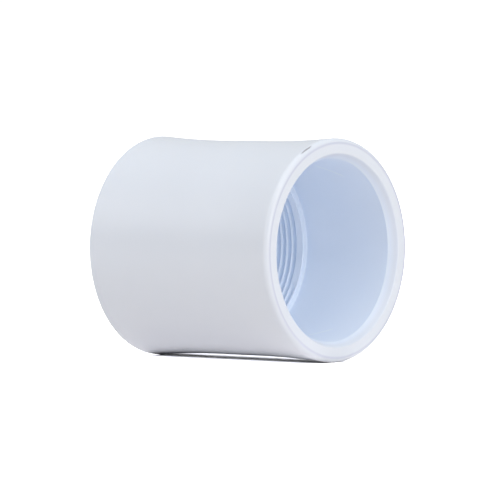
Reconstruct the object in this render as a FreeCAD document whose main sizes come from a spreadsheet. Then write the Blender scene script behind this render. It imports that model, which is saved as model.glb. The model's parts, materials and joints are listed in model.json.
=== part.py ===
import FreeCAD, Part
import math
import os
import Sketcher

# A one-piece white PVC pipe adapter: a solvent-cement socket for 60.3 mm (2 inch) pipe at one
# end, and a right-hand parallel 2 inch pipe thread, 11 turns to the inch, at the other.
#
# Millimetres. The bore lies along X with the socket mouth facing +X, and +Z is up.
# The origin is on the bore axis in the plane of the socket mouth, so the body runs from
# X = 0 back to X = -body_length, and every depth below is measured back from the mouth.

os.makedirs("parts", exist_ok=True)
doc = FreeCAD.newDocument("pipe_adapter")

# ---------------------------------------------------------------------------------------------
# Driving dimensions
# ---------------------------------------------------------------------------------------------

DIMENSIONS = [
    # the barrel: both ends flare a little, because the thick middle shrinks as it cools
    ("body_length", 76.9, "overall length"),
    ("mouth_end_radius", 37.16, "outside radius of the flare where it meets the socket face"),
    ("thread_end_radius", 37.04, "outside radius of the flare where it meets the threaded face"),
    ("waist_radius", 35.8, "outside radius of the shrunk middle"),
    ("mouth_flare_depth", 29.5, "depth where the socket end starts to swell"),
    ("thread_flare_depth", 48.4, "depth where the threaded end starts to swell"),
    ("mouth_edge_round", 1.8, "round on the outside edge of the socket mouth"),
    ("thread_edge_round", 0.5, "round on the outside edge of the threaded mouth"),
    # the socket
    ("socket_radius", 30.25, "socket radius at mid depth"),
    ("lead_in_radius", 31.9, "radius of the lead-in cone at the mouth"),
    ("lead_in_depth", 3.2, "depth where the lead-in cone ends"),
    ("socket_depth", 38.0, "depth of the pipe stop"),
    ("stop_fillet", 0.5, "fillet between the socket wall and the pipe stop"),
    ("stop_radius", 27.8, "radius of the opening through the pipe stop"),
    ("stop_edge_round", 0.3, "round on the inner edge of the pipe stop"),
    # the thread: 2 inch parallel pipe thread, 55 degree form
    ("stop_lip_depth", 38.528, "depth where the stop's lip has opened to the crest radius"),
    ("minor_radius", 28.328, "crest radius of the internal thread"),
    ("major_radius", 29.807, "root radius of the internal thread"),
    ("thread_pitch", 2.309, "11 turns to the inch"),
    ("flank_angle", 27.5, "half of the thread angle, in degrees"),
    ("root_flat", 0.385, "width of the thread groove at its root"),
    ("cutter_overlap", 0.25, "how far the groove section reaches inside the crest radius"),
    ("cutter_start_depth", 78.27, "depth where the groove starts, outside the threaded mouth"),
    ("thread_turns", 16.6806, "16 turns and 245 degrees, to where the groove ends"),
    ("thread_mouth_chamfer", 1.9, "45 degree chamfer at the threaded mouth"),
]

sheet = doc.addObject("Spreadsheet::Sheet", "dims")
for row, (alias, value, meaning) in enumerate(DIMENSIONS, start=1):
    sheet.set(f"A{row}", alias)
    sheet.set(f"B{row}", str(value))
    sheet.set(f"C{row}", meaning)
    sheet.setAlias(f"B{row}", alias)
doc.recompute()


def dim(alias):
    """The number in one cell of the sheet, or 0 for None."""
    return float(getattr(sheet, alias)) if alias else 0.0


# ---------------------------------------------------------------------------------------------
# Sketches: drawn on the XZ plane, where x is X along the bore and y is the radius
# ---------------------------------------------------------------------------------------------

ORIGIN_POINT = (-1, 1)
START, END = 1, 2


def origin_plane(body, role):
    """One of the body's own origin planes."""
    return next(feature for feature in body.Origin.OriginFeatures if feature.Role == role)


def new_sketch(body, name):
    """An empty sketch on the body's XZ plane."""
    sketch = body.newObject("Sketcher::SketchObject", name)
    sketch.AttachmentSupport = [(origin_plane(body, "XZ_Plane"), "")]
    sketch.MapMode = "FlatFace"
    return sketch


def add_line(sketch, start, end):
    """Draw a straight line and return its number."""
    ends = [FreeCAD.Vector(x, y, 0) for x, y in (start, end)]
    return sketch.addGeometry(Part.LineSegment(*ends), False)


def add_flare(sketch, start, end, waist_end):
    """Draw an arc that runs level where it meets the waist, and return its number."""
    (x0, y0), (x1, y1) = (start, end) if waist_end == END else (end, start)
    radius = ((x0 - x1) ** 2 + (y0 - y1) ** 2) / (2 * (y0 - y1))
    half_turn = math.asin((x0 - x1) / radius) / 2
    middle = (x1 + radius * math.sin(half_turn), y1 + radius * (1 - math.cos(half_turn)))
    points = [FreeCAD.Vector(x, y, 0) for x, y in (start, middle, end)]
    return sketch.addGeometry(Part.Arc(*points), False)


def set_distance(sketch, direction, first, second, expression):
    """Drive the distance between two points, along x or y, by an expression on the sheet."""
    here = sketch.getPoint(*first)
    there = sketch.getPoint(*second)
    gap = there.x - here.x if direction == "DistanceX" else there.y - here.y
    number = sketch.addConstraint(Sketcher.Constraint(direction, *first, *second, gap))
    sketch.setExpression(f"Constraints[{number}]", expression)


def pin_corner(sketch, corner, depth, radius):
    """Hold one corner at a depth and a radius: each is an alias of the sheet, or None for 0."""
    if depth:
        set_distance(sketch, "DistanceX", corner, ORIGIN_POINT, f"dims.{depth}")
    else:
        sketch.addConstraint(Sketcher.Constraint("PointOnObject", *corner, -2))
    if radius:
        set_distance(sketch, "DistanceY", ORIGIN_POINT, corner, f"dims.{radius}")
    else:
        sketch.addConstraint(Sketcher.Constraint("PointOnObject", *corner, -1))


def add_outline(body, name, corners, flares=None):
    """Sketch a closed outline through corners given as (depth alias, radius alias).

    flares maps the number of a side to the end where that side meets the waist.
    """
    flares = flares or {}
    sketch = new_sketch(body, name)
    places = [(-dim(depth), dim(radius)) for depth, radius in corners]
    count = len(corners)
    for side in range(count):
        start, end = places[side], places[(side + 1) % count]
        if side in flares:
            add_flare(sketch, start, end, flares[side])
        else:
            add_line(sketch, start, end)
    for side, (depth, radius) in enumerate(corners):
        before = (side - 1) % count
        level = side in flares and flares[side] == START
        level = level or (before in flares and flares[before] == END)
        joint = "Tangent" if level else "Coincident"
        sketch.addConstraint(Sketcher.Constraint(joint, before, END, side, START))
        pin_corner(sketch, (side, START), depth, radius)
    return sketch


def add_groove_section(body):
    """Sketch the section of the thread groove: a truncated 55 degree V that opens inwards."""
    centre = -dim("cutter_start_depth")
    inner_radius = dim("minor_radius") - dim("cutter_overlap")
    half_root = dim("root_flat") / 2
    slope = math.tan(math.radians(dim("flank_angle")))
    half_mouth = half_root + (dim("major_radius") - inner_radius) * slope
    corners = [
        (centre - half_mouth, inner_radius),
        (centre - half_root, dim("major_radius")),
        (centre + half_root, dim("major_radius")),
        (centre + half_mouth, inner_radius),
    ]
    sketch = new_sketch(body, "thread_section")
    for side in range(4):
        add_line(sketch, corners[side], corners[(side + 1) % 4])
    for side in range(4):
        sketch.addConstraint(
            Sketcher.Constraint("Coincident", side, END, (side + 1) % 4, START)
        )
    left_flank, root, right_flank, mouth = range(4)
    root_start, root_end = (root, START), (root, END)
    sketch.addConstraint(Sketcher.Constraint("Horizontal", root))
    sketch.addConstraint(Sketcher.Constraint("Horizontal", mouth))
    sketch.addConstraint(Sketcher.Constraint("Equal", left_flank, right_flank))
    set_distance(sketch, "DistanceX", root_start, root_end, "dims.root_flat")
    set_distance(
        sketch, "DistanceX", root_start, ORIGIN_POINT, "dims.cutter_start_depth + dims.root_flat / 2"
    )
    set_distance(sketch, "DistanceY", ORIGIN_POINT, root_start, "dims.major_radius")
    set_distance(
        sketch, "DistanceY", ORIGIN_POINT, (mouth, START), "dims.minor_radius - dims.cutter_overlap"
    )
    set_distance(
        sketch,
        "DistanceX",
        (left_flank, START),
        root_start,
        "(dims.major_radius - dims.minor_radius + dims.cutter_overlap) * tan(dims.flank_angle * 1 deg)",
    )
    return sketch


# ---------------------------------------------------------------------------------------------
# Features
# ---------------------------------------------------------------------------------------------


def turn_section(body, kind, name, sketch):
    """Turn a section once round the bore axis: a Revolution adds it and a Groove removes it."""
    feature = body.newObject(f"PartDesign::{kind}", name)
    feature.Profile = sketch
    feature.ReferenceAxis = (sketch, ["H_Axis"])
    feature.Angle = 360
    doc.recompute()
    return feature


def circular_edges(feature, depth, radius):
    """The names of the feature's edges that are circles at this depth and radius."""
    names = []
    for number, edge in enumerate(feature.Shape.Edges, start=1):
        curve = edge.Curve
        if not isinstance(curve, Part.Circle):
            continue
        if abs(curve.Center.x + depth) < 0.01 and abs(curve.Radius - radius) < 0.01:
            names.append(f"Edge{number}")
    if not names:
        raise ValueError(f"no circular edge at depth {depth}, radius {radius}")
    return names


def dress_edge(body, kind, size_alias, depth, radius):
    """Fillet or chamfer the circular edge at a depth and a radius, given as aliases."""
    base = body.Tip
    edges = circular_edges(base, dim(depth), dim(radius))
    feature = body.newObject(f"PartDesign::{kind}", size_alias)
    feature.Base = (base, edges)
    size_property = "Radius" if kind == "Fillet" else "Size"
    feature.setExpression(size_property, f"dims.{size_alias}")
    doc.recompute()
    return feature


def cut_thread(body):
    """Cut the right-hand thread groove, from outside the threaded mouth to its inner end."""
    section = add_groove_section(body)
    doc.recompute()
    thread = body.newObject("PartDesign::SubtractiveHelix", "thread")
    thread.Profile = section
    thread.ReferenceAxis = (section, ["H_Axis"])
    thread.Mode = "pitch-turns-angle"
    thread.LeftHanded = False
    thread.setExpression("Pitch", "dims.thread_pitch")
    thread.setExpression("Turns", "dims.thread_turns")
    doc.recompute()
    return thread


def make_adapter_body():
    """The whole adapter, which is one moulding."""
    body = doc.addObject("PartDesign::Body", "adapter_body")
    body.Label = "adapter_body"

    barrel_outline = add_outline(
        body,
        "barrel_outline",
        [
            ("body_length", None),
            ("body_length", "thread_end_radius"),
            ("thread_flare_depth", "waist_radius"),
            ("mouth_flare_depth", "waist_radius"),
            (None, "mouth_end_radius"),
            (None, None),
        ],
        flares={1: END, 3: START},
    )
    turn_section(body, "Revolution", "barrel", barrel_outline)

    bore_outline = add_outline(
        body,
        "bore_outline",
        [
            (None, None),
            (None, "lead_in_radius"),
            ("lead_in_depth", "socket_radius"),
            ("socket_depth", "socket_radius"),
            ("socket_depth", "stop_radius"),
            ("stop_lip_depth", "minor_radius"),
            ("body_length", "minor_radius"),
            ("body_length", None),
        ],
    )
    turn_section(body, "Groove", "bore", bore_outline)

    dress_edge(body, "Chamfer", "thread_mouth_chamfer", "body_length", "minor_radius")
    dress_edge(body, "Fillet", "mouth_edge_round", None, "mouth_end_radius")
    dress_edge(body, "Fillet", "thread_edge_round", "body_length", "thread_end_radius")
    dress_edge(body, "Fillet", "stop_fillet", "socket_depth", "socket_radius")
    dress_edge(body, "Fillet", "stop_edge_round", "socket_depth", "stop_radius")
    cut_thread(body)
    body.Placement = FreeCAD.Placement(FreeCAD.Vector(0, 0, 0), FreeCAD.Rotation())
    return body


# ---------------------------------------------------------------------------------------------
# Build, check and write
# ---------------------------------------------------------------------------------------------

SUB_PARTS = [make_adapter_body()]
doc.recompute()

for thing in doc.Objects:
    if {"Invalid", "Error"} & set(thing.State):
        raise RuntimeError(f"{thing.Name} failed: {thing.State}")

for sub_part in SUB_PARTS:
    shape = sub_part.Shape
    if shape.isNull() or not shape.isValid() or len(shape.Solids) != 1:
        raise RuntimeError(f"{sub_part.Label} is not one valid solid")
    shape.exportStep(f"parts/{sub_part.Label}.step")
    print(f"{sub_part.Label}: {shape.Volume / 1000:.1f} cm3, {shape.optimalBoundingBox()}")
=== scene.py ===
import json
import math

import bmesh
import bpy
from mathutils import Matrix, Vector


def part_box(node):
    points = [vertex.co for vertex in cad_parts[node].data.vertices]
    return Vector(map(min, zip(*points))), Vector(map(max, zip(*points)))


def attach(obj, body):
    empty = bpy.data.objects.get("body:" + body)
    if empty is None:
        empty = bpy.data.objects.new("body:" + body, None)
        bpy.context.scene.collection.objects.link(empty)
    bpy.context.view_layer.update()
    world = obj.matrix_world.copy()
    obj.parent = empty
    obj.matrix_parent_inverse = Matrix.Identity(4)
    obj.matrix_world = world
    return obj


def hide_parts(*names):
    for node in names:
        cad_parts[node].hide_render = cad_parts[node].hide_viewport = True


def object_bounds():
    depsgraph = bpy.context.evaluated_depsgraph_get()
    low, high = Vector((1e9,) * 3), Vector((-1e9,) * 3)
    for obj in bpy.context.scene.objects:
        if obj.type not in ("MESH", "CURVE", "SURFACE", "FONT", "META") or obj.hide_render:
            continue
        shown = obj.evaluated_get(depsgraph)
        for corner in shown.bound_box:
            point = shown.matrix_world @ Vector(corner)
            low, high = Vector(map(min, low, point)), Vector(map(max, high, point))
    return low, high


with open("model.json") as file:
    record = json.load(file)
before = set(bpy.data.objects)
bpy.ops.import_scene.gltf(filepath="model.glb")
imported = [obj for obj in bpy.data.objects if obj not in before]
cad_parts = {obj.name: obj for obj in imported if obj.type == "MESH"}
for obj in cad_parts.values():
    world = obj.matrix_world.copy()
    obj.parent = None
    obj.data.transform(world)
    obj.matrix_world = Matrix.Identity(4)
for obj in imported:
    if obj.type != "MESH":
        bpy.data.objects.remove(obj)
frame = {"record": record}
cad_low, cad_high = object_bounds()

# A white PVC pipe adapter lying on its side on a white table. Metres, in the part's own frame:
# the bore lies along X, the socket mouth is the plane X = 0 and faces +X, and +Z is up.

MM = 0.001
BODY = "adapter_body"

# ---------------------------------------------------------------------------------------------
# Sizes, the same as the solid's
# ---------------------------------------------------------------------------------------------

MOUNTS = {mount["name"]: mount["dims"] for mount in frame["record"]["mounts"]}
SOCKET_RADIUS = MOUNTS["pipe_socket"]["r_mm"] * MM
MINOR_RADIUS = MOUNTS["female_thread"]["r_mm"] * MM
BODY_LENGTH = -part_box(BODY)[0].x

MOUTH_END_RADIUS = 37.16 * MM
THREAD_END_RADIUS = 37.04 * MM
WAIST_RADIUS = 35.8 * MM
MOUTH_FLARE_DEPTH = 29.5 * MM
THREAD_FLARE_DEPTH = 48.4 * MM
MOUTH_EDGE_ROUND = 1.8 * MM
THREAD_EDGE_ROUND = 0.5 * MM
LEAD_IN_RADIUS = 31.9 * MM
LEAD_IN_DEPTH = 3.2 * MM
SOCKET_DEPTH = 38.0 * MM
STOP_FILLET = 0.5 * MM
STOP_RADIUS = 27.8 * MM
STOP_EDGE_ROUND = 0.3 * MM
STOP_LIP_DEPTH = 38.528 * MM
THREAD_MOUTH_CHAMFER = 1.9 * MM

# rounds on edges that are sharp in the solid
SMALL_ROUND = 0.25 * MM
LEAD_IN_ROUND = 0.7 * MM

# the thread: the solid's 55 degree form, here with rounded crests and roots
PITCH = 2.309 * MM
THREAD_HEIGHT = 1.479 * MM
THREAD_ROUND = 0.317 * MM
FLANK_ANGLE = math.radians(27.5)
THREAD_END_DEPTH = 39.754 * MM
THREAD_TURNS = 16
THREAD_END_ANGLE = math.radians(-25) + 2 * math.pi * (THREAD_TURNS + 1)
RUN_OUT_ANGLE = math.radians(10)

# points round every ring, steps along a flare, and the rough step and fewest steps of an arc
COLUMNS = 288
FLARE_STEPS = 12
ARC_STEP = math.radians(15)
FEWEST_ARC_STEPS = 3
# how far down the end's chamfer the outline stops and the rows of the thread take over
CHAMFER_LIP = 0.3 * MM
# rows of the thread that would lie nearer to a ring than this are left out
SLIVER = 0.03 * MM
# rows are laid for this many turns more than the thread has, to cover the land up to the stop
SPARE_TURNS = 4
# above 50, larger faces count for more in the smooth normals
NORMAL_WEIGHT = 60


# ---------------------------------------------------------------------------------------------
# The moulded body
# ---------------------------------------------------------------------------------------------


def flare(start, end):
    """Points of a flare's arc from start to end. The arc runs level with the axis at start."""
    (x0, r0), (x1, r1) = start, end
    radius = ((x1 - x0) ** 2 + (r1 - r0) ** 2) / (2 * (r1 - r0))
    points = []
    for step in range(FLARE_STEPS + 1):
        x = x0 + (x1 - x0) * step / FLARE_STEPS
        points.append((x, r0 + radius - math.sqrt(radius**2 - (x - x0) ** 2)))
    return points


def rounded(corners):
    """An outline through (x, radius, rounding) corners, with an arc at each rounded one."""
    points = []
    last = len(corners) - 1
    for number, (x, r, rounding) in enumerate(corners):
        if not rounding or number in (0, last):
            points.append((x, r))
            continue
        here = Vector((x, r))
        before = (Vector(corners[number - 1][:2]) - here).normalized()
        after = (Vector(corners[number + 1][:2]) - here).normalized()
        half = before.angle(after) / 2
        centre = here + (before + after).normalized() * rounding / math.sin(half)
        sweep = math.pi - 2 * half
        steps = max(FEWEST_ARC_STEPS, round(sweep / ARC_STEP))
        reach = rounding / math.tan(half)
        first = here + before * reach - centre
        side = 1 if first.cross(here + after * reach - centre) > 0 else -1
        for step in range(steps + 1):
            turn = side * sweep * step / steps
            cos, sin = math.cos(turn), math.sin(turn)
            spoke = Vector((first.x * cos - first.y * sin, first.x * sin + first.y * cos))
            points.append(tuple(centre + spoke))
    return points


def body_outline():
    """The section's outline: from behind the stop, by the socket and outside, to the thread."""
    mouth_flare = flare((-MOUTH_FLARE_DEPTH, WAIST_RADIUS), (0, MOUTH_END_RADIUS))
    thread_flare = flare((-THREAD_FLARE_DEPTH, WAIST_RADIUS), (-BODY_LENGTH, THREAD_END_RADIUS))
    chamfer_edge = MINOR_RADIUS + THREAD_MOUTH_CHAMFER
    corners = [
        (-STOP_LIP_DEPTH, MINOR_RADIUS, 0),
        (-SOCKET_DEPTH, STOP_RADIUS, STOP_EDGE_ROUND),
        (-SOCKET_DEPTH, SOCKET_RADIUS, STOP_FILLET),
        (-LEAD_IN_DEPTH, SOCKET_RADIUS, SMALL_ROUND),
        (0, LEAD_IN_RADIUS, LEAD_IN_ROUND),
        (0, MOUTH_END_RADIUS, MOUTH_EDGE_ROUND),
    ]
    corners += [(x, r, 0) for x, r in reversed(mouth_flare[:-1])]
    corners += [(x, r, 0) for x, r in thread_flare[:-1]]
    corners += [
        (-BODY_LENGTH, THREAD_END_RADIUS, THREAD_EDGE_ROUND),
        (-BODY_LENGTH, chamfer_edge, SMALL_ROUND),
        (-BODY_LENGTH + CHAMFER_LIP, chamfer_edge - CHAMFER_LIP, 0),
    ]
    return rounded(corners)


def groove_depth(offset):
    """Depth of the thread groove below the crests, at a distance along X from its middle."""
    offset = abs(offset)
    tilt = math.pi / 2 - FLANK_ANGLE
    root_end = THREAD_ROUND * math.sin(tilt)
    crest_start = PITCH / 2 - root_end
    cap = THREAD_ROUND * (1 - math.cos(tilt))
    if offset <= root_end:
        return THREAD_HEIGHT - THREAD_ROUND + math.sqrt(THREAD_ROUND**2 - offset**2)
    if offset >= crest_start:
        left = PITCH / 2 - offset
        return THREAD_ROUND - math.sqrt(THREAD_ROUND**2 - left**2)
    share = (offset - root_end) / (crest_start - root_end)
    return THREAD_HEIGHT - cap - share * (THREAD_HEIGHT - 2 * cap)


def thread_rows():
    """Where the rows of one turn of the thread lie: shares of the pitch from its groove."""
    tilt = math.pi / 2 - FLANK_ANGLE
    root_half = THREAD_ROUND * math.sin(tilt / 2) / PITCH
    root_end = THREAD_ROUND * math.sin(tilt) / PITCH
    ahead = [root_half, root_end, 0.5 - root_end, 0.5 - root_half]
    return [-0.5] + [-share for share in reversed(ahead)] + [0.0] + ahead


def thread_radius(x, turn, offset):
    """Radius of the threaded bore where turn is the angle along the groove from its start."""
    fade = min(1.0, max(0.0, (THREAD_END_ANGLE - turn) / RUN_OUT_ANGLE))
    fade = fade * fade * (3 - 2 * fade)
    threaded = MINOR_RADIUS + fade * groove_depth(offset)
    chamfered = MINOR_RADIUS + THREAD_MOUTH_CHAMFER - (x + BODY_LENGTH)
    return max(threaded, chamfered)


def add_thread(mesh, column_angles, outer_ring, inner_ring):
    """Fill between two rings with the thread's surface, in rows that follow the helix."""
    rows = thread_rows()
    start_x = -THREAD_END_DEPTH - PITCH * THREAD_END_ANGLE / (2 * math.pi)
    low = outer_ring[0].co.x + SLIVER
    high = inner_ring[0].co.x - SLIVER
    columns = []
    for angle in column_angles:
        column = {}
        for turn in range(-1, THREAD_TURNS + SPARE_TURNS):
            for row, share in enumerate(rows):
                x = start_x + PITCH * (turn + share + angle / (2 * math.pi))
                if low < x < high:
                    radius = thread_radius(x, 2 * math.pi * turn + angle, PITCH * share)
                    place = (x, radius * math.cos(angle), radius * math.sin(angle))
                    column[turn * len(rows) + row] = mesh.verts.new(place)
        columns.append(column)
    count = len(columns)
    for number, left in enumerate(columns):
        after = (number + 1) % count
        shift = len(rows) if after == 0 else 0
        right = {key - shift: vert for key, vert in columns[after].items()}
        shared = sorted(left.keys() & right.keys())
        first, last = shared[0], shared[-1]
        for key in range(first, last):
            mesh.faces.new((left[key], left[key + 1], right[key + 1], right[key]))
        below = [left[key] for key in sorted(left) if key <= first]
        below += [right[key] for key in sorted(right, reverse=True) if key <= first]
        mesh.faces.new([outer_ring[number]] + below + [outer_ring[after]])
        above = [left[key] for key in sorted(left, reverse=True) if key >= last]
        above += [right[key] for key in sorted(right) if key >= last]
        mesh.faces.new([inner_ring[after]] + above[::-1] + [inner_ring[number]])


def make_body():
    """The moulding: a closed surface, turned from its outline, with a helical thread."""
    mesh = bmesh.new()
    angles = [2 * math.pi * number / COLUMNS for number in range(COLUMNS)]
    rings = []
    for x, radius in body_outline():
        places = [(x, radius * math.cos(angle), radius * math.sin(angle)) for angle in angles]
        rings.append([mesh.verts.new(place) for place in places])
    for inner, outer in zip(rings, rings[1:]):
        for number in range(COLUMNS):
            after = (number + 1) % COLUMNS
            mesh.faces.new((inner[number], outer[number], outer[after], inner[after]))
    add_thread(mesh, angles, rings[-1], rings[0])
    bmesh.ops.recalc_face_normals(mesh, faces=mesh.faces)
    data = bpy.data.meshes.new("moulded_body")
    mesh.to_mesh(data)
    mesh.free()
    data.shade_smooth()
    body = bpy.data.objects.new("moulded_body", data)
    bpy.context.scene.collection.objects.link(body)
    normals = body.modifiers.new("flat_faces_stay_flat", "WEIGHTED_NORMAL")
    normals.mode = "FACE_AREA"
    normals.weight = NORMAL_WEIGHT
    return body


# ---------------------------------------------------------------------------------------------
# Material
# ---------------------------------------------------------------------------------------------

# the outside's two colours, which the mottle mixes, and the colour of the bore's walls, bluer and
# lighter than the outside: painted bounce light from inside the bore
PVC_COLOUR = (0.775, 0.835, 0.935)
PVC_SHADE = (0.765, 0.825, 0.925)
BORE_BOUNCE_LIGHT_COLOUR = (0.80, 0.873, 0.99)
PVC_IOR = 1.53
PVC_SUBSURFACE = 0.12
PVC_SCATTER = (1.0, 0.9, 0.8)
PVC_SCATTER_DEPTH = 1.2 * MM

# noise scales per metre along X, Y and Z, and the band of noise values that is used
MOTTLE_SCALE = (28, 34, 34)
MOTTLE_DETAIL = 4.0
MOTTLE_ROUGHNESS = 0.55
GLOSS_SCALE = (60, 75, 75)
GRAIN_SCALE = (1500, 1500, 1500)
GRAIN_DETAIL = 2.0
NOISE_LOW = 0.2
NOISE_HIGH = 0.8

# the surface's roughness, the height of its grain, and how strongly the grain shows
SMOOTHEST = 0.29
ROUGHEST = 0.33
GRAIN_HEIGHT = 0.05 * MM
GRAIN_STRENGTH = 0.05

# the bore's painted bounce light and glow reach BORE_EDGE past the socket's radius, then fade out
BORE_EDGE = 0.1 * MM
BORE_FADE = 1.0 * MM

# a knock on the rounded edge of the mouth: where it lies, and half of its length and width
NICK_ANGLE = math.radians(115)
NICK_DEPTH = 1.0 * MM
NICK_HALF_ANGLE = math.radians(4.6)
NICK_HALF_WIDTH = 0.27 * MM
# the knock's colour is partly a stain and partly painted shade in the dent
NICK_STAIN_AND_SHADE_COLOUR = (0.42, 0.43, 0.49)
NICK_ADDED_ROUGHNESS = 0.3
NICK_BUMP_DEPTH = 0.25 * MM
NICK_BUMP_STRENGTH = 0.8
# the scale and size of its ragged outline, and the squared distance from its middle, in half
# sizes, where it starts to fade and where it is gone
NICK_RAGGED_SCALE = (900, 900, 900)
NICK_RAGGEDNESS = 1.6
NICK_FADE = (0.5, 1.3)

# painted shade: a thin darker line where the mouth's flat face meets its rounded edge
EDGE_SHADE_RADIUS = MOUTH_END_RADIUS - MOUTH_EDGE_ROUND
EDGE_SHADE_HALF_WIDTH = 0.6 * MM
EDGE_SHADE_COLOUR = (0.63, 0.675, 0.82)

# faint lighter streaks on the socket's wall: depth in mm and angle in degrees of each one's two
# ends
LIGHT_STREAKS = [((20.5, 65.5), (12.2, 51.5)), ((20.6, -73.8), (13.3, -62.0))]
STREAK_HALF_WIDTH = 0.6 * MM
STREAK_COLOUR = (0.87, 0.94, 1.0)
# where a lighter streak fades out along its line, as shares of its length from its middle
STREAK_FADE = (0.35, 0.52)

# a weak glow of the bore's walls, in place of the light that comes through them
WALL_LIGHT = (0.42, 0.66, 1.0)
WALL_LIGHT_STRENGTH = 0.047


class NodeNet:
    """Short calls for adding nodes to a material. A value may be a plain one or an output."""

    def __init__(self, material):
        self.nodes = material.node_tree.nodes
        self.links = material.node_tree.links

    def wire(self, source, socket):
        """Link a node's output to a socket, or set the socket to a plain value."""
        if isinstance(source, bpy.types.NodeSocket):
            self.links.new(source, socket)
        else:
            socket.default_value = source

    def math(self, operation, *values):
        """One step of arithmetic."""
        node = self.nodes.new("ShaderNodeMath")
        node.operation = operation
        for value, socket in zip(values, node.inputs):
            self.wire(value, socket)
        return node.outputs[0]

    def position(self):
        """X, Y and Z of the object's own coordinates."""
        where = self.nodes.new("ShaderNodeTexCoord")
        split = self.nodes.new("ShaderNodeSeparateXYZ")
        self.links.new(where.outputs["Object"], split.inputs["Vector"])
        return split.outputs

    def scaled_position(self, scale):
        """The object's own coordinates, scaled differently along each axis."""
        where = self.nodes.new("ShaderNodeTexCoord")
        mapping = self.nodes.new("ShaderNodeMapping")
        mapping.inputs["Scale"].default_value = scale
        self.links.new(where.outputs["Object"], mapping.inputs["Vector"])
        return mapping.outputs["Vector"]

    def noise(self, scale, detail=3.0, roughness=0.5):
        """Smooth noise around 0.5, with a scale for each axis."""
        node = self.nodes.new("ShaderNodeTexNoise")
        node.inputs["Scale"].default_value = 1.0
        node.inputs["Detail"].default_value = detail
        node.inputs["Roughness"].default_value = roughness
        self.links.new(self.scaled_position(scale), node.inputs["Vector"])
        return node.outputs["Fac"]

    def remap(self, value, low, high, to_low, to_high):
        """A value between low and high, carried over to between to_low and to_high."""
        node = self.nodes.new("ShaderNodeMapRange")
        for value_in, socket in zip((value, low, high, to_low, to_high), node.inputs):
            self.wire(value_in, socket)
        return node.outputs["Result"]

    def mix(self, factor, first, second):
        """A blend of two colours: the first at factor 0 and the second at 1."""
        node = self.nodes.new("ShaderNodeMix")
        node.data_type = "RGBA"
        self.wire(factor, node.inputs["Factor"])
        for value, name in ((first, "A"), (second, "B")):
            socket = next(s for s in node.inputs if s.name == name and s.type == "RGBA")
            self.wire(value, socket)
        return next(s for s in node.outputs if s.type == "RGBA")

    def bump(self, height, strength, distance, under=None):
        """A normal bent by a height, on top of another normal if one is given."""
        node = self.nodes.new("ShaderNodeBump")
        node.inputs["Strength"].default_value = strength
        node.inputs["Distance"].default_value = distance
        self.links.new(height, node.inputs["Height"])
        if under:
            self.links.new(under, node.inputs["Normal"])
        return node.outputs["Normal"]


def nick_mask(net):
    """1 inside the knock on the mouth's outer edge, falling to 0 around it."""
    x, y, z = net.position()
    angle = net.math("ARCTAN2", z, y)
    along = net.math("DIVIDE", net.math("SUBTRACT", angle, NICK_ANGLE), NICK_HALF_ANGLE)
    across = net.math("DIVIDE", net.math("ADD", x, NICK_DEPTH), NICK_HALF_WIDTH)
    unevenness = net.math("SUBTRACT", net.noise(NICK_RAGGED_SCALE), 0.5)
    ragged = net.math("ADD", across, net.math("MULTIPLY", unevenness, NICK_RAGGEDNESS))
    along_squared = net.math("POWER", net.math("ABSOLUTE", along), 2.0)
    across_squared = net.math("POWER", net.math("ABSOLUTE", ragged), 2.0)
    distance_squared = net.math("ADD", along_squared, across_squared)
    on_outside = net.math("GREATER_THAN", z, SOCKET_RADIUS)
    return net.math("MULTIPLY", net.remap(distance_squared, *NICK_FADE, 1.0, 0.0), on_outside)


def distance_from_axis(net):
    """How far a place on the body lies from the axis of the bore."""
    where = net.nodes.new("ShaderNodeTexCoord")
    flat = net.nodes.new("ShaderNodeVectorMath")
    flat.operation = "MULTIPLY"
    flat.inputs[1].default_value = (0, 1, 1)
    net.links.new(where.outputs["Object"], flat.inputs[0])
    radius = net.nodes.new("ShaderNodeVectorMath")
    radius.operation = "LENGTH"
    net.links.new(flat.outputs["Vector"], radius.inputs[0])
    return radius.outputs["Value"]


def bore_mask(net):
    """1 on the walls of the bore and the thread, falling to 0 over the cone at the mouth."""
    edge = SOCKET_RADIUS + BORE_EDGE
    return net.remap(distance_from_axis(net), edge, edge + BORE_FADE, 1.0, 0.0)


def edge_shade_mask(net):
    """1 along the thin line of painted shade where the mouth's face meets its rounded outer edge.
    """
    x = net.position()["X"]
    off_line = net.math("SUBTRACT", distance_from_axis(net), EDGE_SHADE_RADIUS)
    near = net.remap(net.math("ABSOLUTE", off_line), 0.0, EDGE_SHADE_HALF_WIDTH, 1.0, 0.0)
    on_face = net.math("GREATER_THAN", x, -EDGE_SHADE_HALF_WIDTH)
    return net.math("MULTIPLY", near, on_face)


def streak_mask(net, start, end):
    """1 along a straight line on the unrolled socket wall, between (depth, angle) places."""
    (depth_0, angle_0), (depth_1, angle_1) = start, end
    along = Vector((depth_0 - depth_1, math.radians(angle_1 - angle_0) * SOCKET_RADIUS / MM)) * MM
    length = along.length
    along.normalize()
    x, y, z = net.position()
    turn = net.math("SUBTRACT", net.math("ARCTAN2", z, y), math.radians(angle_0))
    around = net.math("MULTIPLY", turn, SOCKET_RADIUS)
    out = net.math("ADD", x, depth_0 * MM)
    travel_out = net.math("MULTIPLY", out, along.x)
    travel_around = net.math("MULTIPLY", around, along.y)
    travel = net.math("ADD", travel_out, travel_around)
    aside_out = net.math("MULTIPLY", out, along.y)
    aside_around = net.math("MULTIPLY", around, along.x)
    aside = net.math("SUBTRACT", aside_out, aside_around)
    middle = net.math("ABSOLUTE", net.math("SUBTRACT", travel, length / 2))
    within = net.remap(middle, length * STREAK_FADE[0], length * STREAK_FADE[1], 1.0, 0.0)
    near = net.remap(net.math("ABSOLUTE", aside), 0.0, STREAK_HALF_WIDTH, 1.0, 0.0)
    return net.math("MULTIPLY", within, near)


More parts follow.
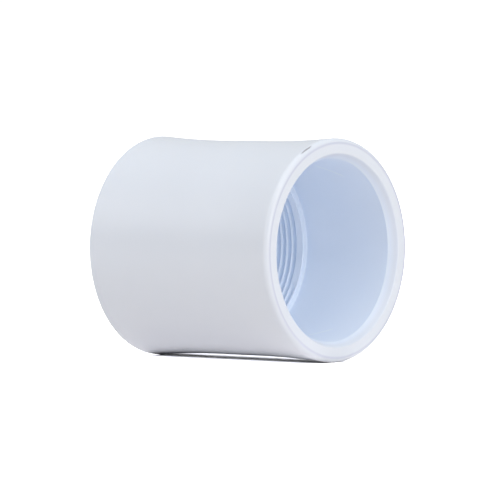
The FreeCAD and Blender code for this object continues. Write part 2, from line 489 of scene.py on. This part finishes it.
def make_pvc():
    """Moulded PVC: cool white, faintly mottled and grained, with small marks, painted shade and
    light.
    """
    material = bpy.data.materials.new("white_pvc")
    material.use_nodes = True
    net = NodeNet(material)
    shader = net.nodes["Principled BSDF"]
    shader.inputs["IOR"].default_value = PVC_IOR
    shader.inputs["Subsurface Weight"].default_value = PVC_SUBSURFACE
    shader.inputs["Subsurface Radius"].default_value = PVC_SCATTER
    shader.inputs["Subsurface Scale"].default_value = PVC_SCATTER_DEPTH
    shader.inputs["Emission Color"].default_value = (*WALL_LIGHT, 1)

    mottle = net.noise(MOTTLE_SCALE, MOTTLE_DETAIL, MOTTLE_ROUGHNESS)
    lighter = net.remap(mottle, NOISE_LOW, NOISE_HIGH, 0.0, 1.0)
    colour = net.mix(lighter, (*PVC_SHADE, 1), (*PVC_COLOUR, 1))
    inside = bore_mask(net)
    # painted bounce light: the bore's walls get a bluer, lighter colour than the outside
    colour = net.mix(inside, colour, (*BORE_BOUNCE_LIGHT_COLOUR, 1))
    # faint lighter streaks on the socket's wall
    for start, end in LIGHT_STREAKS:
        streak = net.math("MULTIPLY", inside, streak_mask(net, start, end))
        colour = net.mix(streak, colour, (*STREAK_COLOUR, 1))
    # painted shade along the line where the mouth's face meets its rounded edge
    colour = net.mix(edge_shade_mask(net), colour, (*EDGE_SHADE_COLOUR, 1))
    # the knock: a dent and dulling, and a colour that is partly stain and partly painted shade
    nick = nick_mask(net)
    colour = net.mix(nick, colour, (*NICK_STAIN_AND_SHADE_COLOUR, 1))
    net.links.new(colour, shader.inputs["Base Color"])

    wall_light = net.math("MULTIPLY", inside, WALL_LIGHT_STRENGTH)
    net.links.new(wall_light, shader.inputs["Emission Strength"])

    gloss = net.remap(net.noise(GLOSS_SCALE), NOISE_LOW, NOISE_HIGH, SMOOTHEST, ROUGHEST)
    dulled = net.math("ADD", gloss, net.math("MULTIPLY", nick, NICK_ADDED_ROUGHNESS))
    net.links.new(dulled, shader.inputs["Roughness"])

    grain = net.noise(GRAIN_SCALE, GRAIN_DETAIL)
    surface = net.bump(grain, GRAIN_STRENGTH, GRAIN_HEIGHT)
    unhurt = net.math("SUBTRACT", 1.0, nick)
    surface = net.bump(unhurt, NICK_BUMP_STRENGTH, NICK_BUMP_DEPTH, surface)
    net.links.new(surface, shader.inputs["Normal"])
    return material


# ---------------------------------------------------------------------------------------------
# Table, lights and camera
# ---------------------------------------------------------------------------------------------

FLOOR_SIZE = 14.0
TABLE_GAP = 0.02 * MM

# the table lights the body in its own colour. The camera sees it brighter, so that it clips to
# white, and a reflection sees it this share of the way between the two.
TABLE_COLOUR = (0.80, 0.755, 0.735)
TABLE_TO_CAMERA = (3.5, 3.5, 3.5)
TABLE_IN_REFLECTIONS = 0.3

# painted shade: to the rays that light the body, a strip of the table under it is dark, which
# darkens the body's underside. It starts to fade at one distance from the line of contact and is
# gone at the other, and it fades out over that last distance towards each end of the body too.
CONTACT_SHADE_COLOUR = (0.03, 0.035, 0.035)
CONTACT_DARK = 5.5 * MM
CONTACT_CLEAR = 9 * MM

# to the same rays, a strip on each side glows: how strongly, and how far from the line of
# contact it starts, reaches full strength and starts to fade. At twice the last it is gone.
TABLE_GLOW = 0.29
GLOW_START = 7 * MM
GLOW_FULL = 10 * MM
GLOW_FADE = 18 * MM

# the white surround as light, and as the camera sees it
SURROUND_COLOUR = (1.0, 0.995, 0.985)
SURROUND = 0.56
BACKDROP_COLOUR = (1, 1, 1)
BACKDROP = 1.05

# name, place, width and height, power and colour. They all point at the middle of the mouth.
SOFTBOXES = [
    ("overhead", (0.0, -0.3, 1.5), (1.6, 1.6), 7.5, (1.0, 0.99, 0.97)),
    ("high_front", (1.3, -0.25, 1.1), (0.8, 0.8), 5.5, (1.0, 0.98, 0.955)),
    ("low_front", (1.6, -0.3, 0.35), (0.45, 0.45), 4.2, (1.0, 0.98, 0.955)),
    ("left_side", (-0.9, -1.2, 0.8), (0.8, 0.8), 2.0, (1.0, 0.99, 0.97)),
]

# the camera: its direction and distance from the middle of the mouth, where the mouth then
# lies in the picture, and the lens and sensor in mm
VIEW_AZIMUTH = math.radians(39.81)
VIEW_ELEVATION = math.radians(2.05)
VIEW_DISTANCE = 1.5985
MOUTH_RIGHT_OF_CENTRE = 29.09 * MM
MOUTH_BELOW_CENTRE = 0.15 * MM
LENS = 350.0
SENSOR_WIDTH = 36.0
CLIP_START = 0.05
CLIP_END = 50.0


def make_table():
    """A white table, a hair below the two end rims."""
    table = bpy.data.meshes.new("table")
    half = FLOOR_SIZE / 2
    corners = [(-half, -half, 0), (half, -half, 0), (half, half, 0), (-half, half, 0)]
    table.from_pydata(corners, [], [(0, 1, 2, 3)])
    surface = bpy.data.objects.new("table", table)
    bpy.context.scene.collection.objects.link(surface)
    surface.location = (0, 0, cad_low.z - TABLE_GAP)
    table.materials.append(make_table_material())


def make_table_material():
    """Matt white, with a strip of painted shade under the body and a faint glow beside it."""
    material = bpy.data.materials.new("white_table")
    material.use_nodes = True
    net = NodeNet(material)
    net.nodes.remove(net.nodes["Principled BSDF"])
    path = net.nodes.new("ShaderNodeLightPath")
    reflected = net.math("MULTIPLY", path.outputs["Is Glossy Ray"], TABLE_IN_REFLECTIONS)
    seen = net.math("MAXIMUM", path.outputs["Is Camera Ray"], reflected)

    x, y, _ = net.position()
    aside = net.math("ABSOLUTE", y)
    beside = net.remap(aside, CONTACT_DARK, CONTACT_CLEAR, 0.0, 1.0)
    middle = net.math("ABSOLUTE", net.math("ADD", x, BODY_LENGTH / 2))
    past_end = net.remap(middle, BODY_LENGTH / 2 - CONTACT_CLEAR, BODY_LENGTH / 2, 0.0, 1.0)
    clear = net.math("MAXIMUM", beside, past_end)
    # painted shade: the dark strip under the body, for the rays that light the body
    bounce = net.mix(clear, (*CONTACT_SHADE_COLOUR, 1), (*TABLE_COLOUR, 1))
    matte = net.nodes.new("ShaderNodeBsdfDiffuse")
    net.links.new(net.mix(seen, bounce, (*TABLE_TO_CAMERA, 1)), matte.inputs["Color"])

    rise = net.remap(aside, GLOW_START, GLOW_FULL, 0.0, TABLE_GLOW)
    lit = net.math("MULTIPLY", rise, net.remap(aside, GLOW_FADE, 2 * GLOW_FADE, 1.0, 0.0))
    strength = net.math("MULTIPLY", lit, net.math("SUBTRACT", 1.0, seen))
    glow = net.nodes.new("ShaderNodeEmission")
    glow.inputs["Color"].default_value = (*TABLE_COLOUR, 1)
    net.links.new(strength, glow.inputs["Strength"])
    both = net.nodes.new("ShaderNodeAddShader")
    net.links.new(matte.outputs["BSDF"], both.inputs[0])
    net.links.new(glow.outputs["Emission"], both.inputs[1])
    net.links.new(both.outputs["Shader"], net.nodes["Material Output"].inputs["Surface"])
    return material


def add_softbox(name, place, size, power, colour):
    """A rectangular area light at a place, turned towards the middle of the mouth."""
    light = bpy.data.lights.new(name, "AREA")
    light.shape = "RECTANGLE"
    light.size, light.size_y = size
    light.energy = power
    light.color = colour
    lamp = bpy.data.objects.new(name, light)
    bpy.context.scene.collection.objects.link(lamp)
    lamp.location = place
    aim = Vector((0, 0, 0)) - Vector(place)
    lamp.rotation_euler = aim.to_track_quat("-Z", "Y").to_euler()


def light_scene():
    """The white surround, which the camera sees brighter than it lights, and the softboxes."""
    world = bpy.data.worlds.new("white_surround")
    world.use_nodes = True
    nodes, links = world.node_tree.nodes, world.node_tree.links
    glow = nodes["Background"]
    glow.inputs["Color"].default_value = (*SURROUND_COLOUR, 1)
    glow.inputs["Strength"].default_value = SURROUND
    backdrop = nodes.new("ShaderNodeBackground")
    backdrop.inputs["Color"].default_value = (*BACKDROP_COLOUR, 1)
    backdrop.inputs["Strength"].default_value = BACKDROP
    mix = nodes.new("ShaderNodeMixShader")
    path = nodes.new("ShaderNodeLightPath")
    links.new(path.outputs["Is Camera Ray"], mix.inputs["Fac"])
    links.new(glow.outputs["Background"], mix.inputs[1])
    links.new(backdrop.outputs["Background"], mix.inputs[2])
    links.new(mix.outputs["Shader"], nodes["World Output"].inputs["Surface"])
    bpy.context.scene.world = world
    for softbox in SOFTBOXES:
        add_softbox(*softbox)


def add_camera():
    """A long lens, low beside the fitting, looking into the socket."""
    lens = bpy.data.cameras.new("camera")
    lens.lens = LENS
    lens.sensor_width = SENSOR_WIDTH
    lens.clip_start = CLIP_START
    lens.clip_end = CLIP_END
    camera = bpy.data.objects.new("camera", lens)
    bpy.context.scene.collection.objects.link(camera)
    level = math.cos(VIEW_ELEVATION)
    sin, cos = math.sin(VIEW_AZIMUTH), math.cos(VIEW_AZIMUTH)
    back = Vector((sin * level, -cos * level, math.sin(VIEW_ELEVATION)))
    right = Vector((cos, sin, 0))
    up = back.cross(right)
    turned = Matrix((right, up, back)).transposed().to_4x4()
    place = back * VIEW_DISTANCE - right * MOUTH_RIGHT_OF_CENTRE + up * MOUTH_BELOW_CENTRE
    camera.matrix_world = Matrix.Translation(place) @ turned
    bpy.context.scene.camera = camera


# ---------------------------------------------------------------------------------------------
# Scene
# ---------------------------------------------------------------------------------------------

body = make_body()
body.data.materials.append(make_pvc())
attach(body, "root")
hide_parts(BODY)

make_table()
light_scene()
add_camera()
bpy.context.scene.view_settings.view_transform = "Standard"
